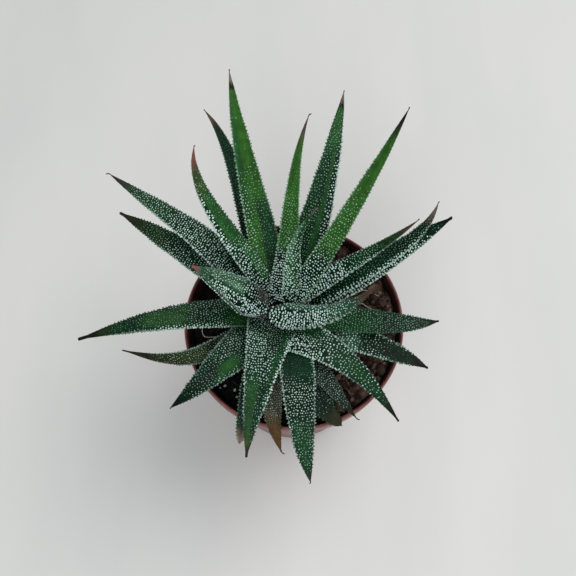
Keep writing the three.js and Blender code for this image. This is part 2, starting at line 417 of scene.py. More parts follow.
# From the youngest leaf, at the heart of the rosette, to the oldest.
LEAVES = [
    Leaf((-3, 4, 86), (2, 8, 102), (-5, 17, 111), (8, 23, 128), 8, 1.5, 0.5, 0.7,
        green=MID, dried=GREY_TIP, size=1, start=-0.1, bloom=0.4, edge=(0.7, 0.4), zones=(
            Zone((0.25, 2), (0.1, 2), skin=FRESH),
            Zone((0.5, 0.85), (0.1, 2), skin=WAXY),
            Zone((0.2, 2), (-0.9, 0.1), size=0.95, pale=1, skin=LUSH),
            Zone((0.1, 0.8), (0.05, 0.25), dots=1.3, size=1, pale=1),
            Zone((0.68, 2), dots=0.9, size=0.75, pale=1))),
    Leaf((-10.5, -0.8, 87), (6, -7, 93), (16, -9, 102), (29.2, -3, 118), 11, 1.6, 0.3, 0.5, 0.15,
        dried=BROWN_TIP, dry=0.15, size=1.15, pale=0.85, start=-0.1, bloom=1, edge=(0.4, 0.6),
        zones=(
            Zone((-1, 0.6), (0.6, 2), dots=1.3, size=0.85, pale=1, skin=SAGE),
            Zone((-1, 0.6), (0.48, 0.62), dots=0.3, skin=DEEP),
            Zone((0.55, 0.9), (-0.85, 0.95), dots=0.9, size=0.8, pale=0.6, skin=SAGE))),
    Leaf((-10, -2, 84), (-16.7, 4.2, 93), (-25.6, 3.3, 104), (-36, 3, 122), 15.6, 2.3, 0.25, 0.25,
        dried=RED_TIP, dry=0.055, size=1.05, start=-0.1, bloom=1, edge=(0.4, 0.7), lines=0.9,
        stub=0.5, nib=0.1, zones=(
            Zone((0.36, 2), (-2, 0), dots=0.9, size=0.65, pale=0.7, skin=WAXY),
            Zone((-1, 0.38), (-2, 0), size=0.85, pale=1, skin=DARK),
            Zone((0.1, 0.9), (0.06, 0.22), dots=1.2, size=1.15, pale=1),
            Zone((0.12, 0.88), (-0.16, 0), dots=0.2, skin=DEEP),
            Zone((0.2, 0.38), skin=DEEP),
            Zone((0.25, 0.6), (0.25, 2), dots=0.75, skin=DEEP),
            Zone((0.82, 2), size=0.6, pale=0.4, skin=SAGE))),
    Leaf((-6, 5, 84), (0, 21, 102), (-3.3, 37, 128), (5, 50, 146), 11, 1.05,
        green=BRIGHT, dried=BROWN_TIP, dry=0.12, pitch=1.1, pale=0.35, start=-0.1, stop=0.8,
        bloom=0.8, edge=(0.9, 0.8), nib=0.8, zones=(
            Zone((-1, 0.3), (-2, -0.1), size=1.05, pale=1, skin=DARK),
            Zone((-1, 0.3), (-0.1, 2), size=0.95, pale=0.8, skin=DEEP),
            Zone((-1, 0.36), (-0.12, 0.12), size=1.2, pale=1),
            Zone((0.6, 2), (-0.8, 0.8), dots=0.8, size=0.45, pale=0.15))),
    Leaf((-7, 1, 82), (-9, -12, 98), (-16, -40, 93), (-18, -56, 80), 23, 1,
        dried=OLIVE_TIP, dry=0.07, pitch=1.05, size=0.8, pale=0.75, start=0, stop=1, bloom=0.4,
        edge=(0.9, 0.9), stub=0.5, nib=0.1, zones=(
            # These two zones are painted shade over the base, where the leaf lies deep in the
            # rosette.
            Zone((-1, 0.25), dots=0.9, size=0.6, pale=0.25, skin=DEEP),
            Zone((0.1, 0.36), (0, 2), size=0.55, pale=0.3, skin=DEEP),
            Zone((0.2, 0.6), (0.55, 0.92), dots=0.7, size=0.5, pale=0.25, skin=MID),
            Zone((0.56, 2), (-0.85, 0.1), dots=0.7, size=0.5, pale=0.15, skin=LUSH),
            Zone((0.56, 2), (0.1, 0.7), dots=0.8, size=0.55, pale=0.4),
            Zone((0.25, 0.7), (0.85, 2), dots=1.2, size=1, pale=1),
            Zone((0.8, 2), (-2, 0.3), dots=0.5, pale=0.1),
            Zone((0.88, 2), skin=KHAKI))),
    Leaf((-5, 4, 81), (17, 16, 93), (31.6, 17.4, 104), (46.5, 25, 116), 11, 1.05, 0.25, 0.8,
        dried=BROWN_TIP, dry=0.12, pitch=1.15, size=1.1, pale=1, start=-0.1, bloom=0.9,
        edge=(0.3, 0.8), zones=(
            Zone((0.46, 0.72), size=0.8, pale=0.7),
            Zone((0.46, 2), (-0.6, 0.9), dots=0.9, size=0.6, pale=0.5, skin=MID),
            Zone((0.7, 2), size=0.5, pale=0.25, skin=MOSS))),
    Leaf((-8, 5, 82), (-17, 22, 96), (-41, 34, 116), (-36, 44, 136), 11, 1.4, 0.12, 0.7,
        dried=RED_TIP, dry=0.12, pitch=1.1, size=0.95, start=-0.1, bloom=0.9, edge=(0.9, 0.3),
        zones=(
            Zone((0.15, 0.45), (-2, -0.1), size=0.75, pale=0.75, skin=FRESH),
            Zone((0.4, 2), (-2, 0.45), dots=0.6, size=0.5, pale=0.25, skin=FRESH),
            Zone((0.3, 0.8), (0.45, 2), dots=0.85, size=1.1, pale=1, skin=DARK),
            Zone((0.7, 2), dots=0.7, size=0.6, pale=0.5, skin=KHAKI))),
    Leaf((-7, 5, 81), (-12, 31, 96), (-21.4, 53, 125), (-24, 73, 142), 14, 1.45,
        green=BRIGHT, dried=GREY_TIP, banded=True, pale=0.4, start=-0.1, stop=0.6, bloom=0.2,
        edge=(0.8, 0.6), zones=(
            Zone((-1, 0.28), (-2, 0.1), size=0.55, pale=0.2, skin=DARK),
            Zone((0.1, 0.5), (0.4, 2), size=0.8, pale=0.7),
            Zone((0.22, 0.45), (-2, 0), pale=0.3, skin=MID),
            Zone((0.4, 0.85), (0.3, 2), skin=FRESH),
            # Painted shade: the base, hidden in the rosette, is darkened, with dull tubercles.
            Zone((-1, 0.14), dots=0.5, pale=0.05, skin=DEEP))),
    Leaf((-7, 1, 80), (-8, -16, 94), (14, -6, 94), (40, -42, 78), 16, 2.5,
        pitch=1.12, size=0.85, pale=0.8, start=0.12, bloom=0.5, edge=(0.8, 0.9), stub=0.4, nib=0.1,
        zones=(
            Zone((-1, 0.4), (-0.5, 2), dots=0.8, size=0.5, pale=0.15, skin=DEEP),
            Zone((0.3, 0.54), (0.2, 0.9), dots=0.8, size=0.5, pale=0.2, skin=MID),
            # Painted shade: this stretch of the u < 0 half lies in the shadow between leaves.
            Zone((0.25, 0.72), (-2, -0.15), dots=0.8, size=0.95, pale=0.8, skin=DEEP),
            Zone((0.66, 2), (-0.7, 0.7), dots=0.9, size=0.75, pale=0.5, skin=MID))),
    Leaf((-5, 3, 79), (4, 5, 98), (25.4, 31.8, 124), (41, 56, 142), 9, 2.2, 0.25,
        green=BRIGHT, dry=0.11, pale=0.35, start=-0.1, stop=0.7, edge=(0.6, 0.4), zones=(
            Zone((-1, 0.42), size=0.9, pale=0.95, skin=DARK),
            Zone((0.42, 0.62), size=0.65, pale=0.5))),
    Leaf((-9, 3, 79), (-38, -3, 93), (-54, -7, 98), (-83, -13, 90), 12.4, 2,
        dry=0.12, pitch=1.1, size=0.65, pale=0.5, start=0.12, edge=(0.8, 0.1), stub=0.65, nib=0.1,
        zones=(
            Zone((0.42, 0.68), (-0.85, 0.7), dots=0.8, size=0.5, pale=0.25, skin=LUSH),
            Zone((0.2, 0.62), (0.7, 2), dots=1.2, size=0.9, pale=0.9),
            Zone((-1, 0.22), dots=0.5, size=0.5, pale=0.05, skin=LUSH),
            Zone((0.66, 2), (-2, 0.7), dots=0.8, size=0.5, pale=0.25),
            Zone((0.82, 2), skin=MOSS))),
    Leaf((-9, 5, 78), (-30, 27, 94), (-54, 37, 103), (-71, 45, 116), 15, 1.3,
        dried=ASHY_TIP, dry=0.12, pitch=1, size=0.82, stop=0.92, edge=(1.0, 0.4), nib=1.4, zones=(
            Zone((0.6, 2), dots=0.9, size=0.65, pale=0.65, skin=MID),
            Zone((0.3, 0.6), (-2, -0.3), size=0.8, pale=0.7),
            Zone((-1, 0.3), (-2, 0), size=0.6, pale=0.15, skin=DEEP),
            # Painted shade: the base, hidden in the rosette, is darkened, with dull tubercles.
            Zone((-1, 0.14), pale=0.05, skin=DEEP))),
    Leaf((-6, 1, 78), (4, -16, 96), (0, -44, 92), (6, -65, 78), 13.5, 3.3,
        dried=ASHY_TIP, dry=0.04, pitch=1.05, size=0.72, pale=0.7, start=0.25, stop=1.1,
        edge=(0.7, 0.9), nib=0.8, zones=(
            Zone((-1, 0.48), (-0.85, 0.85), dots=0.8, size=0.5, pale=0.05),
            Zone((0.5, 0.7), skin=DEEP),
            Zone((0.7, 2), (-0.8, 0.8), dots=0.9, size=0.65, pale=0.4, skin=MID))),
    Leaf((-5, 5, 77), (5.5, 18, 94), (15, 50, 124), (18, 65, 140), 20, 1.0,
        green=MID, dried=GREY_TIP, banded=True, pitch=1.1, size=0.65, pale=0.35, start=-0.1,
        stop=1.05, edge=(0.5, 0.9), zones=(
            Zone((-1, 0.4), (-0.2, 2), pale=0.4),
            Zone((-1, 0.8), (-2, -0.5), size=0.9, pale=0.9, skin=DARK),
            Zone((-1, 0.75), (-0.42, -0.12), dots=0.8, size=0.45, pale=0.1, skin=FRESH),
            Zone((0.75, 2), (-0.8, 0.8), dots=0.9, size=0.6, pale=0.3, skin=FRESH))),
    Leaf((-5, 4, 76), (31, 18, 92), (51, 23, 100), (53, 29, 122), 13.5, 1.0, 0.3,
        dried=GREY_TIP, dry=0.14, size=0.9, start=-0.1, edge=(0.4, 1.0), zones=(
            Zone((-1, 0.85), (-0.5, 2), size=0.6, pale=0.35),
            Zone((0.4, 0.6), (-0.5, 2), pale=0.2),
            Zone((0.05, 0.9), (-2, -0.6), dots=1.2, size=1.1, pale=1))),
    Leaf((-5, 2, 76), (22, -4, 91), (41, -8, 89), (57, -4, 86), 11, 2.8,
        green=MID, pitch=1.1, size=0.7, pale=0.25, edge=(0.1, 0.2), stub=0.4, nib=0.1,
        zones=(Zone((0.55, 2), skin=DARK),)),
    Leaf((-8, 1, 75), (-19, -14, 92), (-29, -26, 92), (-48, -37, 78), 17, 2.1,
        size=0.65, pale=0.42, start=0, edge=(0.7, 0.6), zones=(
            Zone((-1, 0.36), size=0.6, pale=0.15, skin=DEEP),
            Zone((0.47, 0.67), (0, 0.85), dots=0.5, size=0.4, pale=0.1, skin=FRESH),
            Zone((0.3, 0.6), (-0.8, 0), size=0.75, pale=0.5, skin=DARK),
            Zone((0.62, 0.82), (-0.5, 0.6), dots=1.2, size=0.5, pale=0.4, skin=SLATE),
            Zone((0.45, 0.85), (0.6, 2), size=0.7, pale=0.55),
            Zone((0.85, 2), (-0.7, 0.7), dots=0.4, size=0.5, skin=DEEP))),
    Leaf((-5, 2, 74), (12, -8, 86), (32, -12, 87), (52, -22, 82), 11, 4.5,
        dry=0.08, size=0.8, pale=0.8, edge=(0.7, 0.9), stub=0.5, nib=0.1, zones=(
            Zone((-1, 0.56), size=0.9, pale=1, skin=SAGE),
            Zone((0.56, 0.8), (-0.65, 0.75), dots=0.9, size=0.65, pale=0.6, skin=DEEP),
            Zone((0.72, 2), (-0.75, 0.75), dots=0.5, size=0.45, pale=0.1, skin=DEEP))),
    Leaf((-9, 4, 74), (-29, 17, 86), (-50, 28, 93), (-70, 38, 98), 13, 2.6,
        dried=OLIVE_TIP, dry=0.12, pitch=1.1, size=0.7, pale=0.7, stop=0.92, edge=(0.8, 0.2),
        stub=0.6, nib=0.1, zones=(
            Zone((-1, 0.42), size=0.85, pale=1, skin=SAGE),
            Zone((0.4, 0.8), (0.8, 2), size=0.8, pale=0.9),
            Zone((0.5, 0.8), (-2, -0.2), pale=0.25),
            Zone((0.7, 2), size=0.55, pale=0.4, skin=MOSS))),
    Leaf((-6, 1, 74), (2, -13, 88), (11, -27, 86), (24, -41, 78), 11, 2.2,
        green=SLATE, dried=OLIVE_TIP, pitch=0.95, pale=0.5, bloom=0.1, edge=(0.3, 0.3), nib=1.6,
        zones=(Zone((-1, 0.52), pale=0.1),)),
    Leaf((-5, 3, 74), (21, 11, 81), (41, 26, 85), (62, 33, 103), 10, 4.5,
        dry=0.05, size=0.85, pale=0.85, edge=(0.4, 1.0), stub=0.6, nib=0.6, zones=(
            Zone((-1, 2), (-0.4, 2), size=0.55, pale=0.45),
            Zone((0.05, 0.85), (-2, -0.6), dots=1.2, size=1.15, pale=1))),
    Leaf((-8, 5, 73), (-20, 36, 87), (-21.4, 61, 107), (-36, 75, 116), 8.6, 2.2,
        dried=BROWN_TIP, dry=0.1, size=0.45, pale=0.15, edge=(0.5, 0.6),
        zones=(Zone((-1, 0.5), pale=0.4, skin=DEEP),)),
    Leaf((-9, 2, 73), (-36, -18, 85), (-39, -22.8, 83), (-68, -14.1, 80), 9.2, 1.8,
        green=OLIVE, dried=ASHY_TIP, dry=0.14, size=0.55, pale=0.4, stop=1, bloom=0.1,
        edge=(0.4, 0.8), lines=0.5, stub=0.3, zones=(
            Zone((-1, 0.42), (-0.1, 2), skin=MOSS),
            Zone((-1, 0.42), (-2, -0.1), skin=DEEP),
            Zone((0.55, 2), (-2, 0.2), size=0.6, pale=0.55),
            Zone((0.6, 2), (0.2, 2), dots=0.8, skin=OLIVE_TIP))),
    Leaf((-7, 0, 72), (-7, -17, 83), (-12, -35, 84), (-5, -53, 75), 9, 4.2,
        green=DUSTY, dried=ORANGE_TIP, dry=0.18, pitch=0.9, pale=0.6, bloom=0, edge=(0.3, 0.3),
        lines=0.6, stub=0.35, nib=2.0, zones=(Zone((-1, 0.5), skin=SLATE),)),
    Leaf((-7, 1, 72), (-6, -15, 85), (0, -28, 83), (18, -44, 79), 9, 8,
        dried=OLIVE_TIP, dry=0.08, pale=0.4, bloom=0, edge=(0.4, 0.6),
        zones=(Zone((-1, 2), (-0.6, 2), skin=DEEP),)),
    Leaf((-8, 1, 72), (-18, -16, 86), (-17, -33, 83), (-21, -50, 76), 6, 8,
        green=MID, dried=BEIGE_TIP, dry=0.07, size=0.55, pale=0.4, bloom=0, stub=0.5, nib=0.1,
        # Painted shadow: leaf_05's shadow darkens most of this leaf's length.
        zones=(Zone((-1, 0.8), skin=DEEP),)),
    Leaf((-5, 1, 71), (2, -13, 82), (12, -26, 79), (19, -38, 77), 8, 8,
        green=MOSS, dried=BROWN_TIP, dry=0.07, size=1, pale=1, bloom=0, edge=(1.0, 1.0)),
]

THICKNESS = 0.4  # at the midline, as a share of half the width
SKIN = 0.35  # added to each face
TAPER = 0.9
BLUNT_TAPER = 0.5  # of the leaves that keep their width nearly to the end
BLUNT = 6
KEEL = 0.8  # below 1, the under face is rounder than an ellipse and the margins are blunt

RING_PITCH = 0.8  # distance between the fine rings of points
RING_POINTS = 44
DOT_RADIUS = 0.34
DOT_HEIGHT = 0.34
DOT_JITTER = 0.25  # how far a tubercle strays from its place, as a share of the pitch
DOT_SIDES = 7
DOT_FINISH = 1  # which of the leaf's materials the tubercles have
FACE_ARC = 2.2  # length of the way across a face, in half widths
ROW_WAVE = 0.8  # how far a row of tubercles winds, in rows
TOOTH_PITCH = 1.3
TOOTH_LENGTH = 0.55
TOOTH_RADIUS = 0.34
NIB_RADIUS = 0.24


def half_width(leaf, t):
    narrow = leaf.base + (1 - leaf.base) * smoothstep(t, 0, leaf.swell)
    taper = TAPER if leaf.full < BLUNT else BLUNT_TAPER
    return max(leaf.stub, (leaf.width / 2) * narrow * (1 - t**leaf.full) ** taper)


class Blade:
    """A leaf's surface. Places are in millimetres."""

    def __init__(self, leaf, seed):
        self.leaf = leaf
        self.seed = seed
        self.controls = [Vector(place) for place in (leaf.root, leaf.knee, leaf.neck, leaf.tip)]
        places = [self.centre(i / 100) for i in range(101)]
        self.length = sum((b - a).length for a, b in zip(places, places[1:]))

    def centre(self, t):
        a, b, c, d = self.controls
        s = 1 - t
        return a * s**3 + b * (3 * s * s * t) + c * (3 * s * t * t) + d * t**3

    def frame(self, t):
        """The directions along the leaf, to its left and out of its upper face."""
        a, b, c, d = self.controls
        s = 1 - t
        along = ((b - a) * (s * s) + (c - b) * (2 * s * t) + (d - c) * (t * t)).normalized()
        side = UP.cross(along).normalized()
        return along, side, along.cross(side)

    def point(self, t, angle):
        """A point of the surface: angle is 0 at the left margin, and below 0 on the under face."""
        leaf = self.leaf
        _, side, normal = self.frame(t)
        half = half_width(leaf, t)
        skin = SKIN * min(1, 0.3 + half)
        rise = math.sin(angle)
        if rise >= 0:
            lift = rise * (skin - leaf.channel * half)
        else:
            lift = -((-rise) ** KEEL) * (skin + (leaf.channel + THICKNESS) * half)
        wave = 0.25 * noise.noise(Vector((t * 9, self.seed, 0))) * min(1, half / 3)
        return self.centre(t) + side * (math.cos(angle) * half + wave) + normal * lift

    def out(self, t, angle):
        """The direction straight out of the surface."""
        step = 0.01
        along = self.point(min(1, t + step), angle) - self.point(max(0, t - step), angle)
        round_it = self.point(t, angle + step) - self.point(t, angle - step)
        return along.cross(round_it).normalized() * -1


def blend(own, wanted, share):
    """own, moved towards wanted by that share where anything is wanted."""
    return own if wanted is None else own + (wanted - own) * share


class Look:
    """A leaf's look at one place: its own values, with those of its zones over them."""

    def __init__(self, leaf, t, angle):
        u = math.cos(angle)
        self.dots = smoothstep(t, leaf.start, leaf.start + 0.08)
        inner = 1 - abs(u) ** 6  # the tubercles at the margins go on to the tip
        self.dots *= 1 - 0.94 * smoothstep(t, leaf.stop - 0.12, leaf.stop + 0.04) * inner
        self.size = leaf.size
        self.pale = leaf.pale
        self.skin = leaf.green
        if math.sin(angle) < 0:
            return
        for zone in leaf.zones:
            share = zone.weight(t, u)
            self.dots = blend(self.dots, zone.dots, share)
            self.size = blend(self.size, zone.size, share)
            self.pale = blend(self.pale, zone.pale, share)
            if zone.skin is not None:
                self.skin = self.skin.lerp(zone.skin, share)


def skin_tint(leaf, blade, t, angle):
    """Bare skin's colour: green, lined lengthwise, white margins, dry tip, painted shade near the
    root.
    """
    u = math.cos(angle)
    patch = noise.noise(Vector((t * 6, u * 1.5, blade.seed + 0.5)))
    lines = noise.noise(Vector((t * 3, u * 9, blade.seed + 7.5)))
    tint = Look(leaf, t, angle).skin * (1 + 0.35 * patch + leaf.lines * lines)
    # Painted shade: the skin darkens towards the root, where it lies deep in the rosette.
    tint = tint * (0.3 + 0.7 * smoothstep(t, -0.05, 0.25))
    if math.sin(angle) < 0:
        tint = tint.lerp(DEEP, 0.3)
    edge = leaf.edge[0] if u > 0 else leaf.edge[1]
    inset = half_width(leaf, t) * (1 - abs(u))
    rim = edge * (1 - smoothstep(inset, 0.1, 0.4)) * smoothstep(t, 0.05, 0.15)
    tint = tint.lerp(MINT * 0.5, 0.35 * rim * (1 - smoothstep(t, 0.7, 0.92)))
    ragged = 0.03 * noise.noise(Vector((u * 3, t * 20, blade.seed)))
    if leaf.banded:
        band = window(t + 0.3 * ragged, 1 - leaf.dry * 1.45, 1 - leaf.dry, leaf.dry * 0.08)
        tint = tint.lerp(BLACK_TIP, 0.9 * band)
    soft = 0.1 if leaf.banded else 0.6
    dried = smoothstep(t + ragged, 1 - leaf.dry * (1 + soft), 1 - leaf.dry * (1 - soft))
    return tint.lerp(leaf.dried * (1 + 0.5 * patch + 0.4 * lines), dried)


def dot_tint(leaf, look, t, draw):
    """Colour of a tubercle: leaf green to mint, lavender at a waxy base, dull at a dry tip."""
    green = look.skin * 1.7 + DULL_DOT * 0.2
    white = MINT.lerp(LAVENDER, leaf.bloom * (1 - smoothstep(t, 0.25, 0.7)) * draw.random())
    tint = green.lerp(white, min(1, look.pale * draw.uniform(0.7, 1.15)))
    tint = tint * (draw.uniform(0.72, 1.15) + 0.06 * leaf.bloom)
    dried = smoothstep(t, 1 - leaf.dry * 1.6, 1 - leaf.dry * 0.8)
    return tint.lerp(leaf.dried * 1.5, dried)


def add_dome(shape, place, out, along, radius, height, tint, stretch):
    """A low dome with its foot sunk into what it grows from, longer by stretch along one way."""
    along = (along - out * along.dot(out)).normalized()
    across = out.cross(along)
    rows = [(1.0, -0.35), (0.92, 0.25), (0.55, 0.8)]
    first = len(shape.points)
    for share, rise in rows:
        for bearing in bearings(DOT_SIDES):
            spot = along * (math.cos(bearing) * stretch) + across * math.sin(bearing)
            shape.point((place + spot * (radius * share) + out * (height * rise)) * MM, tint)
    top = shape.point((place + out * height) * MM, tint)
    for row in range(len(rows) - 1):
        for k in range(DOT_SIDES):
            a = first + row * DOT_SIDES + k
            b = first + row * DOT_SIDES + (k + 1) % DOT_SIDES
            shape.face((a, b, b + DOT_SIDES, a + DOT_SIDES), DOT_FINISH)
    last = first + (len(rows) - 1) * DOT_SIDES
    for k in range(DOT_SIDES):
        shape.face((top, last + k, last + (k + 1) % DOT_SIDES), DOT_FINISH)
    shape.face(tuple(first + k for k in reversed(range(DOT_SIDES))), DOT_FINISH)


def add_skin(shape, leaf, blade):
    rings = []
    tints = []
    count = round(blade.length / RING_PITCH)
    angles = [a if a <= math.pi else a - math.tau for a in bearings(RING_POINTS)]
    for ring in range(count + 1):
        t = ring / count
        rings.append([blade.point(t, angle) * MM for angle in angles])
        tints.append([skin_tint(leaf, blade, t, angle) for angle in angles])
    end = (blade.centre(1) + blade.frame(1)[0] * 0.4) * MM
    shape.tube(rings, (blade.centre(0) * MM, end), tints, (leaf.green, leaf.dried))


def add_tubercles(shape, leaf, blade, draw):
    """Wavy rows of tubercles over both faces, staggered and jittered, more or less closely set."""
    rows = round(blade.length / leaf.pitch)
    for face in (1, -1):
        for row in range(1, rows):
            arc = FACE_ARC * half_width(leaf, row / rows)
            places = max(1, round(arc / leaf.pitch))
            for k in range(places):
                shift = 0.5 * (row % 2) + draw.uniform(-DOT_JITTER, DOT_JITTER)
                u = 2 * (k + 0.25 + shift) / places - 1
                wave = ROW_WAVE * noise.noise(Vector((u * 1.6, row * 0.12, blade.seed)))
                stray = draw.uniform(-DOT_JITTER, DOT_JITTER)
                t = min(0.985, max(0.01, (row + wave + stray) / rows))
                angle = face * math.acos(max(-0.97, min(0.97, u)))
                look = Look(leaf, t, angle)
                if draw.random() <= 0.96 * look.dots:
                    add_tubercle(shape, leaf, blade, look, t, angle, draw)


def add_tubercle(shape, leaf, blade, look, t, angle, draw):
    """One tubercle, drawn out across the leaf where its base is waxy."""
    narrow = min(1, 0.35 + half_width(leaf, t) / 4)
    radius = DOT_RADIUS * look.size * narrow * draw.triangular(0.65, 1.3, 1.0)
    out = blade.out(t, angle)
    along = blade.frame(t)[0]
    turned = out.cross(along) + along * draw.uniform(-0.5, 0.5)
    stretch = 1 + 0.6 * leaf.bloom * draw.random() * (1 - t) + 0.2 * draw.random()
    height = DOT_HEIGHT * narrow * (0.4 + 0.6 * look.size)
    tint = dot_tint(leaf, look, t, draw)
    add_dome(shape, blade.point(t, angle), out, turned, radius, height, tint, stretch)


def add_teeth(shape, leaf, blade, draw):
    """Small teeth along both margins, each with a pale tip where the margin is white."""
    teeth = round(blade.length / TOOTH_PITCH)
    for margin, white in ((0, leaf.edge[0]), (math.pi, leaf.edge[1])):
        for tooth in range(2, teeth):
            t = min(0.98, (tooth + draw.uniform(-0.25, 0.25)) / teeth)
            narrow = min(1, half_width(leaf, t) / 3)
            if t < 0.05 or narrow < 0.2:
                continue
            along, side, _ = blade.frame(t)
            out = (side * math.cos(margin) + along * 0.3).normalized()
            look = Look(leaf, t, margin)
            share = white * draw.uniform(0.6, 1) * (1 - 0.8 * smoothstep(t, 0.55, 0.9))
            tint = (leaf.green * 1.3).lerp(dot_tint(leaf, look, t, draw), share)
            length = TOOTH_LENGTH * narrow * draw.uniform(0.6, 1.2)
            place = blade.point(t, margin)
            add_dome(shape, place, out, along, TOOTH_RADIUS * narrow, length, tint, 1.2)


def add_nib(shape, leaf, blade, draw):
    """The dried thread that the leaf ends in, curling as it goes."""
    along, side, _ = blade.frame(1)
    curl = draw.uniform(-0.4, 0.4)
    place = blade.centre(1) - along * 0.6
    route = []
    for step in range(5):
        route.append(place)
        heading = (along + side * (curl * step) - UP * (0.2 * step)).normalized()
        place = place + heading * ((0.6 + leaf.nib) / 4)
    add_thread(shape, route, NIB_RADIUS, leaf.dried * 0.9)


def add_leaves():
    materials = [skin_material(), tubercle_material()]
    for number, leaf in enumerate(LEAVES, 1):
        draw = random.Random(number)
        blade = Blade(leaf, number * 3.7)
        shape = Shape()
        add_skin(shape, leaf, blade)
        add_tubercles(shape, leaf, blade, draw)
        add_teeth(shape, leaf, blade, draw)
        add_nib(shape, leaf, blade, draw)
        node = f"leaf_{number:02d}"
        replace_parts(shape.object(f"fine_{node}", materials, "leaf"), node)


# ---- The pot ----

POT_HEIGHT = 76
RIM_RADIUS = 45
BASE_RADIUS = 32
WALL = 1.5
FLOOR = 2.4
LIP_HEIGHT = 10
LIP_BAND = 1.4
LIP_STEP = 1.6
POT_SIDES = 160
HOLE_SIDES = 32
DRAIN_HOLES = 6
DRAIN_RADIUS = 4
DRAIN_CIRCLE = 20
GROOVE_WIDTH = 4
GROOVE_DEPTH = 0.8
WALL_TOP = POT_HEIGHT - LIP_HEIGHT
WALL_TOP_RADIUS = RIM_RADIUS - LIP_STEP - 0.8
CLEAN = Vector((0, 0, 0))
FULL_DIRT_AND_SHADE = Vector((1, 1, 1))


def outer_radius(height):
    return BASE_RADIUS + (WALL_TOP_RADIUS - BASE_RADIUS) * height / WALL_TOP


def inner_radius(height):
    return outer_radius(height) - WALL


def pot_profile():
    """The pot's section: up the outside from the base's middle, over the rim and down inside."""
    rim_inside = RIM_RADIUS - LIP_BAND
    return [
        (BASE_RADIUS - 1.2, 0), (BASE_RADIUS - 0.4, 0.15), (outer_radius(1), 1),
        *[(outer_radius(h), h) for h in (8, 20, 35, 50, WALL_TOP - 1)],
        (WALL_TOP_RADIUS, WALL_TOP - 0.2), (WALL_TOP_RADIUS + 0.5, WALL_TOP),
        (RIM_RADIUS - 1.3, WALL_TOP), (RIM_RADIUS - 0.85, WALL_TOP + 0.4),
        (RIM_RADIUS - 0.5, WALL_TOP + 4), (RIM_RADIUS, POT_HEIGHT - 1.3),
        (RIM_RADIUS - 0.1, POT_HEIGHT - 0.5), (RIM_RADIUS - 0.5, POT_HEIGHT - 0.1),
        (RIM_RADIUS - 1.0, POT_HEIGHT), (rim_inside + 0.6, POT_HEIGHT),
        (rim_inside + 0.15, POT_HEIGHT - 0.25), (rim_inside, POT_HEIGHT - 0.8),
        (rim_inside - 0.5, POT_HEIGHT - 3), (rim_inside - 1.1, POT_HEIGHT - 6),
        (inner_radius(WALL_TOP - 2) + 0.3, WALL_TOP), (inner_radius(WALL_TOP - 2), WALL_TOP - 2),
        *[(inner_radius(h), h) for h in (50, 30, 10, FLOOR + 2)],
        (inner_radius(FLOOR) - 0.6, FLOOR + 0.6), (inner_radius(FLOOR) - 2, FLOOR),
    ]


def dirt_and_shade_share(radius, height):
    """Share of dirt and painted shade on the wall: none outside, more and more down the inside."""
    outside = height < FLOOR or radius > RIM_RADIUS - LIP_BAND + 0.05
    if outside or (height < WALL_TOP and radius > outer_radius(height) - 0.1):
        return 0.0
    return 0.85 + 0.15 * smoothstep(height, POT_HEIGHT, WALL_TOP)


def around_axis(radius, height, sides):
    """A level ring of points about the pot's axis."""
    return [Vector((math.cos(bearing) * radius, -math.sin(bearing) * radius, height)) * MM
            for bearing in bearings(sides)]


def add_drain_cutter():
    """The drain holes, each with a groove from it to the base's edge, to cut out of the pot."""
    shape = Shape()
    depth = (-FLOOR, 2 * FLOOR)
    reach = (DRAIN_CIRCLE, BASE_RADIUS + 5)
    for i in range(DRAIN_HOLES):
        turn = Matrix.Rotation((i + 0.5) * math.tau / DRAIN_HOLES, 4, "Z")
        centre = Vector((DRAIN_CIRCLE, 0, 0)) * MM
        rings = []
        for height in depth:
            ring = around_axis(DRAIN_RADIUS, height, HOLE_SIDES)
            rings.append([turn @ (place + centre) for place in ring])
        ends = [turn @ (centre + UP * (height * MM)) for height in depth]
        shape.plain_tube(rings, ends, CLEAN)
        half = GROOVE_WIDTH / 2
        section = [(half, -1), (half, GROOVE_DEPTH), (-half, GROOVE_DEPTH), (-half, -1)]
        rings = [[turn @ (Vector((x, y, z)) * MM) for y, z in section] for x in reach]
        middle = (GROOVE_DEPTH - 1) / 2
        ends = [turn @ (Vector((x, 0, middle)) * MM) for x in reach]
        shape.plain_tube(rings, ends, CLEAN)
    mesh = bpy.data.meshes.new("drain_cutter")
    mesh.from_pydata(shape.points, [], shape.faces)
    return new_object("drain_cutter", mesh)


def cut(piece, cutter):
    """Cut the cutter out of the piece's mesh, and remove the cutter."""
    modifier = piece.modifiers.new("cut", "BOOLEAN")
    modifier.object = cutter
    modifier.operation = "DIFFERENCE"
    modifier.use_self = True
    depsgraph = bpy.context.evaluated_depsgraph_get()
    mesh = bpy.data.meshes.new_from_object(piece.evaluated_get(depsgraph), depsgraph=depsgraph)
    piece.modifiers.clear()
    piece.data = mesh
    bpy.data.objects.remove(cutter)


def add_pot():
    shape = Shape("dirt_and_shade")
    profile = pot_profile()
    rings = [around_axis(radius, height, POT_SIDES) for radius, height in profile]
    # Each ring's share of dirt and painted shade on the inside wall.
    dirt_and_shade_rings = [[FULL_DIRT_AND_SHADE * dirt_and_shade_share(radius, height)] * POT_SIDES for radius, height in profile]
    ends = (Vector((0, 0, 0)), UP * (FLOOR * MM))
    shape.tube(rings, ends, dirt_and_shade_rings, (CLEAN, FULL_DIRT_AND_SHADE))
    pot = shape.object("fine_pot", [pot_material()], "pot")
    cut(pot, add_drain_cutter())
    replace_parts(pot, "pot")


# ---- Soil, stem and what lies on the soil ----

